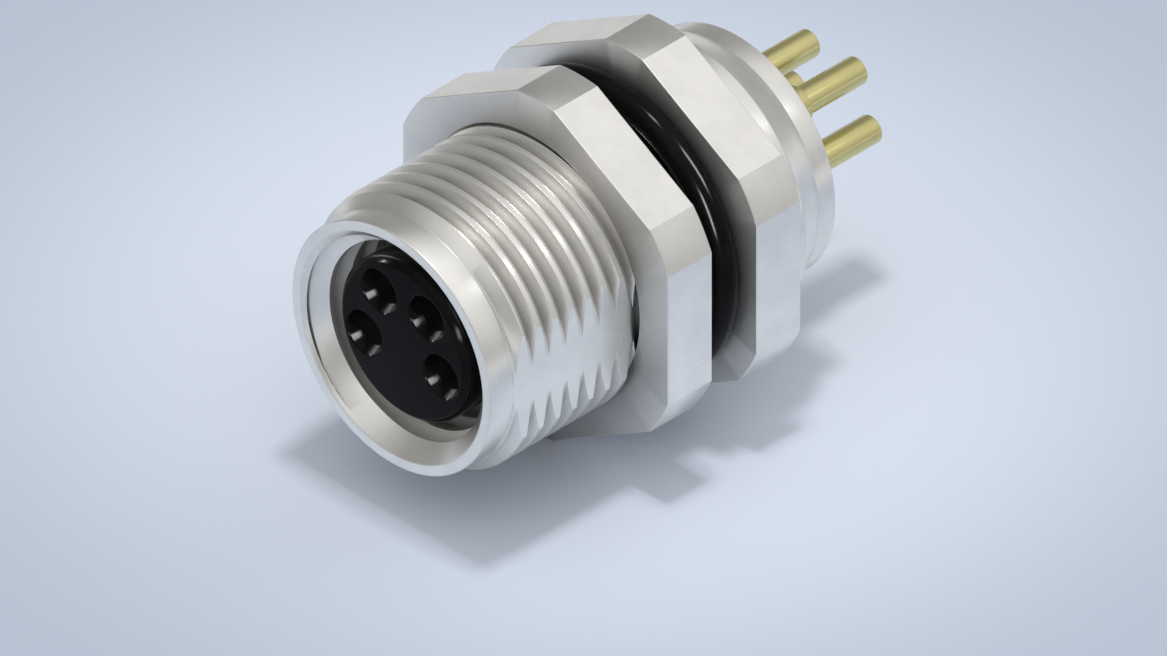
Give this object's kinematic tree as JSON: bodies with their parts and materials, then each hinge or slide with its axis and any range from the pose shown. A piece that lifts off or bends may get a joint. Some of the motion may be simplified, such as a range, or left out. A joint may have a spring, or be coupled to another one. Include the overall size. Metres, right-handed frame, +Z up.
{
  "type": "circular sensor panel socket",
  "caption": "Threaded metal panel socket for a round sensor plug, with a lock nut, an O-ring seal, a black contact insert and solder pins behind.",
  "frame": {"origin": "on the socket's axis, in the front face of the flange, where the panel seats", "axes": "+Y along the axis towards the solder pins, +X through the middle of one milled flat, +Z up through the upper pair of contacts"},
  "size_m": [0.012, 0.02, 0.013],
  "materials": {
    "nickel_plated_brass": "satin",
    "seal_rubber": "satin",
    "carrier_plastic": "satin",
    "potting_resin": "gloss",
    "gold_plated_brass": "satin"
  },
  "bodies": {
    "socket": {"shell": "nickel_plated_brass", "panel_seal": "seal_rubber", "contact_carrier": "carrier_plastic", "carrier_seal": "seal_rubber", "rear_insulator": "carrier_plastic", "potting": "potting_resin", "contact_1": "gold_plated_brass", "contact_2": "gold_plated_brass", "contact_3": "gold_plated_brass", "contact_4": "gold_plated_brass"},
    "nut": {"panel_nut": "nickel_plated_brass"}
  },
  "joints": [
    {"name": "nut_travel", "type": "slide", "parent": "socket", "child": "nut", "axis": [0, 1, 0], "range_m": [-0.0075, 0.00075]}
  ]
}
